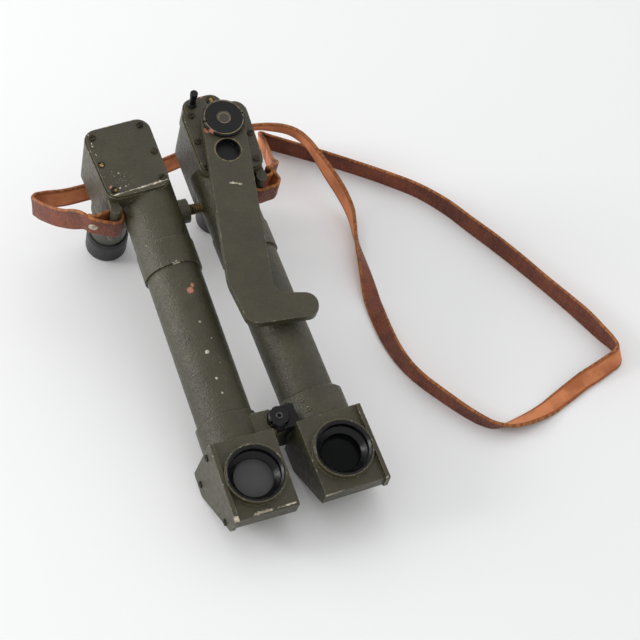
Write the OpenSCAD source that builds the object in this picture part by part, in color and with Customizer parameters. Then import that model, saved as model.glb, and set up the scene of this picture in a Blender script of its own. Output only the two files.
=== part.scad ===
// Scissors periscope: two periscope arms joined by a hinge near the objective heads,
// with a swinging hand grip on the right arm and a leather neck strap.
// Each arm is drawn in its own frame: the tube lies along Y, the objective faces +Z
// and the outer side is +X. The left arm is the mirror image of the right one.

/* [Arms] */
// Distance between the two tube axes at the hinge
arm_gap = 50.7; // [50:0.1:53]
// Angle between the two arms as they lie
arm_angle = 1.76; // [1:0.01:2.2]
// Distance of the hinge axis from the objective axis, along the tube
hinge_y = 30.5; // [29.5:0.1:31]

/* [Tubes] */
// Outer radius of the long tube
tube_r = 16.1; // [15:0.1:16.2]
// Wall of the long tube
tube_wall = 1.5; // [1:0.1:2.5]
// Where the tube leaves the neck of the eyepiece housing
neck_start = 154; // [140:1:165]
// Outer radius of that neck
neck_r = 16.6; // [16.5:0.1:17]
// Radius of the sleeve that covers the joint of tube and neck
sleeve_r = 17.3; // [16.9:0.1:18]
// Length of the sleeve
sleeve_len = 17; // [10:1:24]
// Outer radius of the collar behind the right head
collar_r = 19.8; // [18.5:0.1:20]
// Outer radius of the collar behind the left head
left_collar_r = 17.6; // [17.1:0.1:18.6]
// Length of the collar
collar_len = 18.6; // [16:0.1:22]

/* [Objective heads] */
// Half width of the head on its inner side
head_half = 18.5; // [17.8:0.1:19]
// Where the cover plate of the head starts, from the tube axis
head_outer = 16.6; // [16.4:0.1:17.5]
// Front edge of the head, towards the user's far side
head_front = 22.2; // [21:0.1:24]
// Back face of the head, where the tube starts
head_back = 23.3; // [22:0.1:24]
// Height of the face that carries the objective
face_z = 22.2; // [21:0.1:24]
// Depth of the head below the tube axis
head_depth = 17.4; // [17:0.1:19]
// Height of the front lip of the face
lip_height = 12; // [8:0.5:14]
// Where the slanted back of the prism ends and the flat heel starts
heel_y = 8.5; // [6:0.5:12]
// Wall between the prism and the outside
head_wall = 2.6; // [2:0.1:3]
// Thickness of the plate that closes the prism chamber
side_plate_t = 2.4; // [1.6:0.1:3]
// Lean of that plate, wider at the bottom
side_lean = 4.5; // [0:0.1:6]
// How far that plate stands above the face
side_proud = 2.5; // [0.5:0.1:3]

/* [Objectives] */
// Radius of the round boss on the face
boss_r = 17; // [16.8:0.1:18]
// Height of that boss
boss_h = 4; // [2:0.5:6]
// Wall of the boss round the lens ring
boss_wall = 0.8; // [0.6:0.1:1.2]
// Radius of the front bore of the lens ring, where a cap or filter plugs in
ring_bore_r = 14.2; // [13:0.1:14.6]
// Depth of that bore
ring_bore_len = 4; // [2:0.5:5]
// Clear radius of the objective lens
lens_r = 11.2; // [9:0.1:11.6]

/* [Eyepiece housings] */
// Height of the housing rim under its cover
rim_z = 16.1; // [14:0.1:17]
// Depth of the housing below the tube axis
housing_depth = 22; // [21:0.5:26]
// Near wall of the housing
housing_near = 184.6; // [184:0.1:188]
// Far wall of the housing
housing_far = 234.4; // [232:0.1:240]
// Wall of the housing
housing_wall = 3; // [2.5:0.1:3.4]
// Thickness of the housing cover
cover_t = 1.4; // [1:0.1:2]
// Step between the housing rim and its cover
cover_step = 0.9; // [0.3:0.1:1.5]
// Radius of the light bore through the neck
light_bore_r = 7; // [5:0.1:7.4]

/* [Eyepieces] */
// Distance of the eyepiece axis from the tube axis, outwards
eye_x = 14.4; // [13.5:0.1:15]
// Distance of the eyepiece axis along the tube
eye_y = 207.4; // [204:0.1:212]
// Radius of the fixed socket
socket_r = 12.2; // [11.8:0.1:12.6]
// Radius of the turning barrel
barrel_r = 11.2; // [10.8:0.1:11.6]
// Radius of the rubber eyecup
eyecup_r = 13; // [12.4:0.1:14]
// Length of the eyecup
eyecup_len = 17.5; // [14:0.5:22]
// Height of the eyecup rim below the tube axis
eyecup_rim = 78.8; // [70:0.1:90]
// Clear radius of the eye lens
eye_lens_r = 7.2; // [6:0.1:7.4]

/* [Hinge] */
// Radius of the hinge bolt
bolt_r = 3; // [2.5:0.1:3.4]
// Radius of the middle knuckle, on the left arm
knuckle_r = 7; // [6.2:0.1:7.2]
// Half height of the middle knuckle
knuckle_half = 9.2; // [7:0.1:10]
// Half height of the whole hinge
hinge_half = 14; // [13:0.1:15]
// Radius of the black hinge lug round the bolt
lug_r = 5.9; // [5.4:0.1:6.1]
// Radius of the hinge knob
knob_r = 6.1; // [5.8:0.1:6.4]
// Height of the hinge knob
knob_h = 5; // [3:0.1:6]
// Running clearance on the bolt
run_fit = 0.05; // [0.02:0.01:0.09]
// Gap between parts that move past each other
move_gap = 0.3; // [0.2:0.05:0.5]

/* [Hand grip] */
// Where the grip turns: outwards from the tube axis
grip_x = 8.8; // [8:0.1:9.5]
// Where the grip turns: along the tube
grip_y = 217.2; // [215:0.1:219]
// Half width of the grip
grip_half = 12.8; // [12:0.1:13.2]
// Thickness of the grip
grip_t = 5.5; // [4:0.1:6]
// Distance from the pivot to the lower edge of the hook
grip_len = 134; // [120:1:140]
// Angle of the stowed grip from the tube, towards the other arm
grip_turn = 11.8; // [10:0.1:13]
// Reach of the hook from the middle of the grip
hook_reach = 39; // [30:1:42]
// Height of the hook
hook_height = 16.4; // [14:0.1:20]
// Thickness of the washer under the grip
washer_t = 2.1; // [1.5:0.1:3]
// Thickness of the pivot disc
disc_t = 2.9; // [2:0.1:4]
// Radius of the pin through the pivot disc
pin_r = 4.3; // [3:0.1:5]
// Radius of the recess in the grip cup
cup_r = 7.1; // [5:0.1:8]
// Depth of that recess
cup_depth = 3.8; // [2:0.1:4]
// Distance of that recess from the pivot
cup_v = 20.8; // [20:0.1:24]

/* [Guide stud] */
// Radius of the threaded stud
stud_r = 3.35; // [2.5:0.05:3.6]
// Place of the stud along the tubes
stud_y = 176.5; // [174:0.1:177.5]
// Radius of the boss on the left neck that takes the stud
stud_boss_r = 7.3; // [6.8:0.1:7.6]
// Free movement of the stud in that boss
stud_clear = 0.65; // [0.6:0.05:0.8]
// Depth of the stud in the boss as the arms lie
stud_in = 2.5; // [1.5:0.1:4]
// How far the boss stands off the neck
stud_boss_out = 4.4; // [3:0.1:4.6]
// Pitch of the stud's thread
stud_pitch = 1.5; // [1:0.25:2]

/* [Strap] */
// Width of the leather strap
strap_w = 17; // [14:0.5:20]
// Thickness of the leather
strap_t = 2.1; // [1.6:0.1:2.6]
// Radius of the post of each strap lug
post_r = 3.2; // [2.6:0.1:3.4]
// Radius of a rivet head
rivet_r = 3; // [2:0.1:4]

/* [Hidden] */
$fn = 64;

half_angle = arm_angle / 2;
eps = 0.01;
fit = 0.05;
cover_z = rim_z + cover_t;
tube_in = tube_r - tube_wall;
barrel_top = -34.3;
barrel_end = -eyecup_rim + eyecup_len - 1.7;

// Both heels and both eyecup rims touch the table: the lean of the arms and their height follow.
heel_touch = (arm_gap / 2 - head_half) * sin(half_angle) + (heel_y - hinge_y) * cos(half_angle) + hinge_y;
rim_touch = (arm_gap / 2 + eye_x) * sin(half_angle) + (eye_y - hinge_y) * cos(half_angle) + hinge_y - eyecup_r;
tilt = atan2(eyecup_rim - head_depth, rim_touch - heel_touch);
lift = head_depth * cos(tilt) - heel_touch * sin(tilt);

// The origin lies under the middle of the object without its strap.
side_round = 1.4;
near_x = arm_gap / 2 + head_outer + side_plate_t;
near_y = near_x * sin(half_angle) + (-head_front - side_round - hinge_y) * cos(half_angle) + hinge_y;
near_end = near_y * cos(tilt) - (face_z + side_proud) * sin(tilt);
far_end = (rim_touch + 2 * eyecup_r) * cos(tilt) + eyecup_rim * sin(tilt);
origin_y = (near_end + far_end) / 2;

// Geometry helpers

function unit(v) = v / norm(v);

// Point of an arm's frame (side 1 is right, -1 is left) in the frame of the table.
function on_table(side, p) =
    let (
        x0 = side * (p[0] + arm_gap / 2),
        y0 = p[1] - hinge_y,
        a = side * half_angle,
        x = x0 * cos(a) - y0 * sin(a),
        y = x0 * sin(a) + y0 * cos(a) + hinge_y
    ) [x, y * cos(tilt) - p[2] * sin(tilt) - origin_y, y * sin(tilt) + p[2] * cos(tilt) + lift];

// Arc that rounds the corner c between the points p and n, with radius c[2].
function corner(p, c, n, steps) =
    let (
        u = unit([p[0] - c[0], p[1] - c[1]]),
        v = unit([n[0] - c[0], n[1] - c[1]]),
        half = acos(max(-1, min(1, u * v))) / 2,
        along = c[2] / tan(half),
        start = [c[0], c[1]] + u * along,
        end = [c[0], c[1]] + v * along,
        mid = [c[0], c[1]] + unit(u + v) * c[2] / sin(half),
        a0 = atan2(start[1] - mid[1], start[0] - mid[0]),
        a1 = atan2(end[1] - mid[1], end[0] - mid[0]),
        turn = (a1 - a0 + 540) % 360 - 180
    ) [for (i = [0:steps]) mid + c[2] * [cos(a0 + turn * i / steps), sin(a0 + turn * i / steps)]];

// Outline whose corners [x, y, radius] are rounded.
function rounded(points, steps = 6) =
    let (n = len(points))
    [for (i = [0:n - 1]) each corner(points[(i + n - 1) % n], points[i], points[(i + 1) % n], steps)];

// Children drawn in an arm's frame, put where that arm lies.
module at_arm(side) {
    translate([0, -origin_y, lift])
        rotate([tilt, 0, 0])
            translate([0, hinge_y, 0])
                rotate([0, 0, side * half_angle])
                    translate([side * arm_gap / 2, -hinge_y, 0])
                        if (side < 0)
                            mirror([1, 0, 0]) children();
                        else
                            children();
}

// Prism-shaped piece: an outline in Y and Z, pushed along X.
module across(x0, x1, outline) {
    translate([x0, 0, 0])
        rotate([90, 0, 90])
            linear_extrude(height = x1 - x0) polygon(outline);
}

// Ring or rod along Y.
module along_y(y0, y1, r) {
    translate([0, y1, 0]) rotate([90, 0, 0]) cylinder(h = y1 - y0, r = r);
}

// Slotted screw standing on z = 0, its shank below.
module slotted_screw(head_r, head_h, shank_r, shank_len) {
    difference() {
        cylinder(h = head_h, r = head_r, $fn = 32);
        translate([-head_r - eps, -head_r * 0.18, head_h * 0.4])
            cube([2 * head_r + 2 * eps, head_r * 0.36, head_h]);
    }
    translate([0, 0, -shank_len]) cylinder(h = shank_len + eps, r = shank_r, $fn = 32);
}

// Objective head

slant = unit([heel_y + head_front, -head_depth - (face_z - lip_height)]);
slant_in = [-slant[1], slant[0]];

function head_profile() = [
    [head_back, face_z, 0.4], [-head_front, face_z, 0.8], [-head_front, face_z - lip_height, 1.2],
    [heel_y, -head_depth, 2], [head_back, -head_depth, 0.4]
];

// Profile of the prism chamber: the head's own outline, one wall further in.
function chamber_profile(inset) =
    let (
        top = face_z - 3 * head_wall + head_wall - inset,
        bottom = -head_depth + inset,
        near = -head_front + inset,
        p = [-head_front, face_z - lip_height] + slant_in * inset,
        z_near = p[1] + (near - p[0]) * slant[1] / slant[0],
        y_bottom = p[0] + (bottom - p[1]) * slant[0] / slant[1]
    ) [
        [head_back - inset, top], [near, top], [near, z_near], [y_bottom, bottom],
        [head_back - inset, bottom]
    ];

// Space outside the leaning plane of the side plate, shifted outwards by out.
module outside_plate(out) {
    translate([head_outer + out / cos(side_lean), 0, face_z + side_proud])
        rotate([0, -side_lean, 0])
            translate([0, -60, -100]) cube([60, 140, 200]);
}

chamber_inner = -head_half + 3 * head_wall / 2.6;
lens_seat = face_z + boss_h - ring_bore_len - 4;

module head(side) {
    color([0.30, 0.29, 0.23])
        at_arm(side)
            difference() {
                union() {
                    difference() {
                        across(-head_half, head_outer + 8, rounded(head_profile()));
                        outside_plate(0);
                    }
                    translate([0, 0, face_z - 2]) cylinder(h = boss_h + 2, r = boss_r);
                }
                // prism chamber, open to the side plate, with a pillar for each screw
                difference() {
                    across(chamber_inner, head_outer + 9, chamber_profile(head_wall));
                    screw_pillars(pillar_r);
                }
                // seats of the lens ring and the lens, and light bore to the tube
                translate([0, 0, lens_seat]) cylinder(h = 30, r = boss_r - boss_wall);
                translate([0, 0, lens_seat - lens_t]) cylinder(h = 30, r = lens_r + 1.3);
                cylinder(h = 30, r = lens_r);
                along_y(head_back - head_wall - 1, head_back + 1, tube_in - 1.6);
                for (p = side_screw_places())
                    on_side_plate(p) translate([0, 0, -7]) cylinder(h = 8, r = 1.2, $fn = 32);
            }
}

pillar_r = 2.7;
lens_t = 3.2;

// Where the three screws of the side plate sit, in Y and Z.
function side_screw_places() = [
    [head_back - 4.1, face_z - 8.9], [head_back - 9.3, -head_depth + 5.4], [-head_front + 5.7, face_z - 14.7]
];

module screw_pillars(r) {
    for (p = side_screw_places())
        translate([chamber_inner - 1, p[0], p[1]]) rotate([0, 90, 0]) cylinder(h = 60, r = r);
}

// Frame on the seat of the side plate, its z pointing outwards.
module on_side_plate(p) {
    translate([head_outer, 0, face_z + side_proud])
        rotate([0, -side_lean, 0])
            translate([0, p[0], (p[1] - face_z - side_proud) / cos(side_lean)])
                rotate([0, 90, 0]) children();
}

module side_plate(side) {
    plate_outline = [
        [head_back - 0.5, face_z + side_proud, 1.6], [-head_front - side_round, face_z + side_proud, 1.8],
        [-head_front - side_round, face_z - lip_height + 1, 1.8], [heel_y, -head_depth + 0.4, 2],
        [head_back - 0.5, -head_depth + 0.4, 1.6]
    ];
    color([0.62, 0.61, 0.56])
        at_arm(side)
            difference() {
                intersection() {
                    across(head_outer - 1, head_outer + 9, rounded(plate_outline));
                    difference() {
                        translate([head_outer - 1, -60, -60]) cube([10, 120, 120]);
                        outside_plate(side_plate_t);
                    }
                    outside_plate(0);
                }
                translate([0, 0, face_z - 1]) cylinder(h = 10, r = boss_r + 0.15);
                for (p = side_screw_places())
                    on_side_plate(p) translate([0, 0, -1]) cylinder(h = side_plate_t + 2, r = 1.2, $fn = 32);
            }
}

module side_screws(side) {
    color([0.45, 0.44, 0.40])
        at_arm(side)
            for (p = side_screw_places())
                on_side_plate(p)
                    translate([0, 0, side_plate_t]) slotted_screw(2, 0.7, 1.2, side_plate_t + 3);
}

module objective_ring(side) {
    top = face_z + boss_h + 0.4;
    r_out = boss_r - boss_wall;
    color([0.06, 0.06, 0.07])
        at_arm(side)
            rotate_extrude()
                polygon([
                    [lens_r, lens_seat], [r_out, lens_seat], [r_out, top - 0.5], [r_out - 0.5, top],
                    [ring_bore_r + 1.2, top], [ring_bore_r, top - 1.2], [ring_bore_r, top - 1.2 - ring_bore_len],
                    [lens_r, lens_seat + 0.6]
                ]);
}

module objective_lens(side) {
    bulge_r = 60;
    edge_r = lens_r + 1.2;
    steps = 6;
    color([0.20, 0.22, 0.24])
        at_arm(side)
            translate([0, 0, lens_seat - bulge_r])
                rotate_extrude()
                    polygon(concat(
                        [[0, bulge_r - lens_t], [edge_r, bulge_r - lens_t]],
                        [for (i = [steps:-1:0])
                            let (x = edge_r * i / steps) [x, sqrt(bulge_r * bulge_r - x * x)]]
                    ));
}

module head_prism(side) {
    color([0.55, 0.60, 0.62])
        at_arm(side)
            intersection() {
                across(chamber_inner + 0.2, head_outer + 8, chamber_profile(head_wall + 0.1));
                difference() {
                    translate([-40, -60, -60]) cube([100, 120, lens_seat - 3.4 + 60]);
                    outside_plate(-0.3);
                    screw_pillars(pillar_r + 0.15);
                }
            }
}

// Tubes, collars and sleeves

module tube(side) {
    color([0.30, 0.29, 0.23])
        at_arm(side)
            difference() {
                along_y(head_back, neck_start, tube_r);
                along_y(head_back - 1, neck_start + 1, tube_in);
            }
}

// Ring on the tube with a chamfer towards the eyepiece end.
module collar_ring(r) {
    chamfer = min(1.5, r - tube_r - 0.4);
    rotate([-90, 0, 0])
        rotate_extrude()
            polygon([
                [tube_r, head_back], [r, head_back], [r, head_back + collar_len - chamfer],
                [r - chamfer, head_back + collar_len], [tube_r, head_back + collar_len]
            ]);
}

hinge_x = -arm_gap / 2;

// The left collar carries the middle knuckle of the hinge.
module left_collar() {
    color([0.30, 0.29, 0.23])
        at_arm(-1)
            difference() {
                union() {
                    collar_ring(left_collar_r);
                    translate([hinge_x, hinge_y, -knuckle_half])
                        cylinder(h = 2 * knuckle_half, r = knuckle_r);
                    translate([hinge_x, hinge_y - knuckle_r, -knuckle_half])
                        cube([-hinge_x - tube_r, 2 * knuckle_r, 2 * knuckle_half]);
                    difference() {
                        translate([hinge_x + 3, hinge_y - knuckle_r, -hinge_half])
                            cube([-hinge_x - 3 - 10, 2 * knuckle_r, 2 * hinge_half]);
                        for (z = [knuckle_half, -hinge_half - 1])
                            translate([hinge_x, hinge_y, z])
                                cylinder(h = hinge_half - knuckle_half + 1, r = knob_r + move_gap);
                    }
                }
                along_y(head_back - 1, head_back + collar_len + 1, tube_r);
                translate([hinge_x, hinge_y, -20]) cylinder(h = 40, r = bolt_r + run_fit);
            }
}

// The right collar has a pocket in which that knuckle turns.
module right_collar() {
    color([0.30, 0.29, 0.23])
        at_arm(1)
            difference() {
                collar_ring(collar_r);
                translate([hinge_x, hinge_y, -knuckle_half - move_gap])
                    cylinder(h = 2 * (knuckle_half + move_gap), r = knuckle_r + move_gap);
                for (p = lug_screw_places()) radial_screw_hole(p);
            }
}

module sleeve(side) {
    color([0.32, 0.31, 0.25])
        at_arm(side)
            difference() {
                along_y(neck_start - sleeve_len, neck_start, sleeve_r);
                along_y(neck_start - sleeve_len - 1, neck_start + 1, tube_r);
            }
}

// Hinge

// Two round ends [x, y, radius] joined by straight tangents.
module link(a, b) {
    d = norm([b[0] - a[0], b[1] - a[1]]);
    base = atan2(b[1] - a[1], b[0] - a[0]);
    open = acos((a[2] - b[2]) / d);
    translate([a[0], a[1]]) circle(r = a[2]);
    translate([b[0], b[1]]) circle(r = b[2]);
    polygon([
        [a[0] + a[2] * cos(base + open), a[1] + a[2] * sin(base + open)],
        [a[0] + a[2] * cos(base - open), a[1] + a[2] * sin(base - open)],
        [b[0] + b[2] * cos(base - open), b[1] + b[2] * sin(base - open)],
        [b[0] + b[2] * cos(base + open), b[1] + b[2] * sin(base + open)]
    ]);
}

// Black forked lug: it hugs the right collar and holds the bolt above and below the knuckle.
module right_hinge_lug() {
    eye = [hinge_x, hinge_y, lug_r];
    shoulder = [hinge_x + 8.6, hinge_y + 1.8, 5.4];
    toe = [hinge_x + 6.6, head_back + 5.2, 4.6];
    color([0.07, 0.07, 0.07])
        at_arm(1)
            difference() {
                translate([0, 0, -hinge_half])
                    linear_extrude(height = 2 * hinge_half)
                        union() {
                            link(eye, shoulder);
                            link(shoulder, toe);
                            link(toe, eye);
                            polygon([[eye[0], eye[1]], [shoulder[0], shoulder[1]], [toe[0], toe[1]]]);
                        }
                along_y(0, head_back + collar_len + 10, collar_r);
                translate([hinge_x, hinge_y, -knuckle_half - move_gap])
                    cylinder(h = 2 * (knuckle_half + move_gap), r = knuckle_r + move_gap);
                translate([hinge_x, hinge_y, -20]) cylinder(h = 40, r = bolt_r);
            }
}

// Two small screws that hold the lug to the collar, as angle round the tube and place along it.
function lug_screw_places() = [[-29, 36.1], [-23, 29.8]];

module radial_screw_hole(p) {
    translate([0, p[1], 0]) rotate([0, p[0], 0]) translate([0, 0, tube_r]) cylinder(h = 8, r = 0.9, $fn = 32);
}

module lug_screws() {
    color([0.33, 0.32, 0.26])
        at_arm(1)
            for (p = lug_screw_places())
                translate([0, p[1], 0])
                    rotate([0, p[0], 0])
                        translate([0, 0, collar_r]) slotted_screw(1.4, 0.4, 0.9, collar_r - tube_r - 0.2);
}

module hinge_bolt() {
    color([0.25, 0.25, 0.24])
        at_arm(1)
            translate([hinge_x, hinge_y, 0])
                difference() {
                    union() {
                        translate([0, 0, -hinge_half - 2.4]) cylinder(h = 2.4, r = 5, $fn = 6);
                        translate([0, 0, -hinge_half - 1]) cylinder(h = 2 * hinge_half + 4, r = bolt_r);
                        translate([0, 0, hinge_half + 2]) cylinder(h = knob_h - 1.7, r = 2);
                    }
                    translate([0, 0, hinge_half + knob_h - 2]) cylinder(h = 5, r = 1.2, $fn = 6);
                }
}

module hinge_knob() {
    slots = 4;
    color([0.07, 0.07, 0.07])
        at_arm(1)
            translate([hinge_x, hinge_y, hinge_half])
                difference() {
                    rotate_extrude()
                        polygon([
                            [2, 0], [knob_r, 0], [knob_r, knob_h - 0.8], [knob_r - 0.8, knob_h], [2, knob_h]
                        ]);
                    translate([0, 0, -1]) cylinder(h = 4, r = bolt_r);
                    for (i = [0:slots - 1])
                        rotate([0, 0, 25 + i * 360 / slots])
                            translate([knob_r - 0.9, -0.8, 1]) cube([2, 1.6, knob_h]);
                }
}

// Guide stud between the necks: fixed in the right neck, sliding in the boss of the left one.

mid_gap_x = arm_gap / 2;
stud_mouth = neck_r + stud_boss_out;

// Frame on the stud's line: z points from the arm's own axis to the other arm.
module on_stud_line() {
    translate([0, stud_y, 0]) rotate([0, -90, 0]) rotate([-half_angle, 0, 0]) children();
}

module guide_stud() {
    drop = 2 * (mid_gap_x - (stud_y - hinge_y) * tan(half_angle));
    reach = drop - stud_mouth + stud_in;
    root = 9;
    free = reach - neck_r;
    turns = floor((free - 1) / stud_pitch);
    cut = 0.35;
    color([0.60, 0.50, 0.28])
        at_arm(1)
            on_stud_line()
                rotate_extrude()
                    polygon(concat(
                        [[0, root], [stud_r, root], [stud_r, neck_r + 0.3]],
                        [for (i = [0:turns - 1]) each [
                            [stud_r - cut, neck_r + 0.3 + (i + 0.5) * stud_pitch],
                            [stud_r, neck_r + 0.3 + (i + 1) * stud_pitch]
                        ]],
                        [[stud_r - 0.6, reach], [0, reach]]
                    ));
}

// Eyepiece housing

function housing_outline(grow, strap_corner = 7) = [
    [24.8 + grow, housing_near + cover_step - grow, strap_corner + grow],
    [28.2 + grow, housing_far - cover_step - 1.2 + grow, 7 + grow],
    [-11.2 - grow, housing_far - cover_step + 1.6 + grow, 7 + grow],
    [-12.2 - grow, housing_near + cover_step + 1.6 - grow, 7 + grow]
];

// Far edge of the right cover with the lobe that carries the grip stop and one screw.
function lobe_outline(grow) = [
    [14 + grow, 222, 2], [15.2 + grow, 241 + grow, 6.5 + grow], [-8.6 - grow, 240.2 + grow, 6 + grow],
    [-8.6 - grow, 222, 2]
];

chamber_floor = -housing_depth + 6;

module housing_body() {
    bottom_round = 9;
    strap_top = 7;
    intersection() {
        union() {
            translate([0, 0, -housing_depth])
                linear_extrude(height = housing_depth + rim_z)
                    polygon(rounded(housing_outline(cover_step, 12.5)));
            translate([0, 0, strap_top])
                linear_extrude(height = rim_z - strap_top) polygon(rounded(housing_outline(cover_step)));
        }
        across(-40, 60, rounded([
            [housing_near - 4, rim_z + 5, 1], [housing_near - 4, -housing_depth, 5],
            [housing_far + 3, -housing_depth, bottom_round], [housing_far + 3, rim_z + 5, 1]
        ]));
    }
}

module prism_housing(side) {
    color([0.30, 0.29, 0.23])
        at_arm(side)
            difference() {
                union() {
                    housing_body();
                    along_y(neck_start, housing_near + 12, neck_r);
                    along_y(neck_start - sleeve_len + 2, neck_start + 1, tube_in);
                    translate([eye_x, eye_y, barrel_top + move_gap])
                        cylinder(h = -barrel_top - housing_depth + 6, r = socket_r);
                    if (side > 0)
                        translate([0, 0, -1])
                            linear_extrude(height = rim_z + 1) polygon(rounded(lobe_outline(cover_step)));
                    if (side < 0)
                        on_stud_line() cylinder(h = stud_mouth, r = stud_boss_r);
                }
                // seat of the cover, cut into the top of the neck
                translate([0, 0, rim_z]) linear_extrude(height = 5) polygon(rounded(housing_outline(cover_step)));
                // prism chamber under the cover
                difference() {
                    translate([0, 0, chamber_floor])
                        linear_extrude(height = 60) polygon(rounded(housing_outline(-housing_wall, 12.5)));
                    if (side > 0) pivot_block();
                }
                along_y(neck_start - sleeve_len, housing_near + 8, light_bore_r);
                translate([eye_x, eye_y, -60]) cylinder(h = 60, r = eye_lens_r);
                translate([eye_x, eye_y, barrel_top - 1]) cylinder(h = 10.6, r = 9 + run_fit);
                if (side > 0)
                    on_stud_line() translate([0, 0, 9]) cylinder(h = 20, r = stud_r);
                if (side < 0)
                    on_stud_line() translate([0, 0, 8]) cylinder(h = 20, r = stud_r + stud_clear);
                for (p = cover_screw_places(side))
                    translate([p[0], p[1], rim_z - 5]) cylinder(h = 9, r = 1.1, $fn = 32);
                if (side > 0) {
                    translate([grip_x, grip_y, rim_z - 9]) cylinder(h = 12, r = 3);
                    translate([stop_place[0], stop_place[1], rim_z - 5]) cylinder(h = 9, r = 1.5, $fn = 32);
                    translate([lobe_screw[0], lobe_screw[1], rim_z - 5]) cylinder(h = 9, r = 1.1, $fn = 32);
                }
            }
}

// Block under the cover of the right housing into which the pivot pin is screwed.
module pivot_block() {
    half = 5.4;
    depth = 9.5;
    translate([grip_x, grip_y, rim_z - depth]) cylinder(h = depth, r = half);
    translate([grip_x - half, grip_y, rim_z - depth]) cube([2 * half, 30, depth]);
}

// Glass that carries the light sideways to the eyepiece axis and turns it down.
module eye_prism(side) {
    half = 5.6;
    turn_y = eye_y - half;
    entry_y = turn_y - 2 * half;
    color([0.55, 0.60, 0.62])
        at_arm(side) {
            translate([0, 0, chamber_floor])
                linear_extrude(height = half - chamber_floor)
                    polygon([
                        [-half, entry_y], [eye_x - half, entry_y], [eye_x + half, turn_y], [half, turn_y]
                    ]);
            across(eye_x - half, eye_x + half, [
                [turn_y - eps, half], [turn_y - eps, chamber_floor], [eye_y + half, chamber_floor],
                [eye_y + half, -half], [turn_y, half]
            ]);
        }
}

// Places of the cover screws on each arm; the right arm has one more on its lobe.
stop_place = [-3.3, 236.5];

function cover_screw_places(side) = side < 0
    ? [[23.6, 227.6], [23.6, 208.9], [21.2, 190.6], [-6.2, 230.1], [-9.2, 211], [-8.6, 192.6]]
    : [[22.4, 227.2], [24, 208.6], [21.5, 190.7], [-6.4, 228.9], [-8.8, 210.6], [-9.4, 192]];

lobe_screw = [8.4, 236.6];

module cover_plate(side) {
    color([0.31, 0.30, 0.24])
        at_arm(side)
            difference() {
                translate([0, 0, rim_z])
                    linear_extrude(height = cover_t)
                        union() {
                            polygon(rounded(housing_outline(0)));
                            if (side > 0) polygon(rounded(lobe_outline(0)));
                        }
                for (p = cover_screw_places(side))
                    translate([p[0], p[1], rim_z - 1]) cylinder(h = 9, r = 1.1, $fn = 32);
                if (side > 0) {
                    translate([grip_x, grip_y, rim_z - 1]) cylinder(h = 9, r = 3);
                    translate([stop_place[0], stop_place[1], rim_z - 1]) cylinder(h = 9, r = 1.5, $fn = 32);
                    translate([lobe_screw[0], lobe_screw[1], rim_z - 1]) cylinder(h = 9, r = 1.1, $fn = 32);
                    translate([lobe_screw[0], lobe_screw[1], rim_z + 0.5]) cylinder(h = 9, r = 2.9, $fn = 32);
                }
            }
}

module cover_screws(side) {
    color([0.45, 0.38, 0.22])
        at_arm(side) {
            for (i = [0:5])
                translate([cover_screw_places(side)[i][0], cover_screw_places(side)[i][1], cover_z])
                    rotate([0, 0, 30 * i]) slotted_screw(2, 0.8, 1.1, cover_t + 4);
            if (side > 0)
                translate([lobe_screw[0], lobe_screw[1], rim_z + 0.5]) slotted_screw(2, 0.9, 1.1, 5);
        }
}

// Strap lug: a post in front of the housing's outer corner, held by two arms.
post_x = 22.4;
post_y = 181.3;
strap_z = -4;

module strap_lug(side) {
    arm_h = 4.6;
    color([0.30, 0.29, 0.23])
        at_arm(side)
            difference() {
                union() {
                    translate([post_x, post_y, -housing_depth + 1]) cylinder(h = housing_depth + 11, r = post_r);
                    for (z = [-housing_depth + 1, 12 - arm_h])
                        translate([post_x - post_r + 0.6, post_y, z]) cube([2 * post_r - 1.2, 13, arm_h]);
                }
                housing_space();
            }
}

// Space that the housing takes, for pieces that are fitted to its wall.
module housing_space() {
    housing_body();
    along_y(neck_start, housing_near + 12, neck_r);
}

// Eyepieces

module eyepiece_barrel(side) {
    bore = eye_lens_r;
    color([0.36, 0.37, 0.32])
        at_arm(side)
            translate([eye_x, eye_y, 0])
                rotate_extrude()
                    polygon([
                        [bore, barrel_top + 9], [9, barrel_top + 9], [9, barrel_top], [barrel_r - 0.5, barrel_top],
                        [barrel_r, barrel_top - 0.5], [barrel_r, barrel_end + 0.8], [barrel_r - 0.8, barrel_end],
                        [barrel_r - 0.8, barrel_end - 4], [eye_lens_r + 0.9, barrel_end - 4],
                        [eye_lens_r + 0.9, barrel_end - 1], [bore, barrel_end - 1]
                    ]);
}

module eye_lens(side) {
    color([0.20, 0.22, 0.24])
        at_arm(side)
            translate([eye_x, eye_y, barrel_end - 4])
                cylinder(h = 3, r = eye_lens_r + 0.9);
}

module eyecup(side) {
    rim_t = 1.4;
    color([0.06, 0.06, 0.06])
        at_arm(side)
            translate([eye_x, eye_y, 0])
                rotate_extrude()
                    polygon([
                        [barrel_r - 0.8, barrel_end], [barrel_r, barrel_end + 0.8], [barrel_r, barrel_end + 1.7],
                        [eyecup_r - 0.9, barrel_end + 1.7], [eyecup_r, barrel_end - 0.6],
                        [eyecup_r, -eyecup_rim + 0.5], [eyecup_r - 0.5, -eyecup_rim],
                        [eyecup_r - rim_t, -eyecup_rim], [eye_lens_r + 1.4, barrel_end - 5.2],
                        [eye_lens_r + 1.4, barrel_end - 4], [barrel_r - 0.8, barrel_end - 4]
                    ]);
}

// Hand grip with its hook, drawn with its length along -Y from the pivot and then turned.

grip_z = cover_z + washer_t;

module at_grip() {
    at_arm(1) translate([grip_x, grip_y, 0]) rotate([0, 0, -grip_turn]) children();
}

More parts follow.
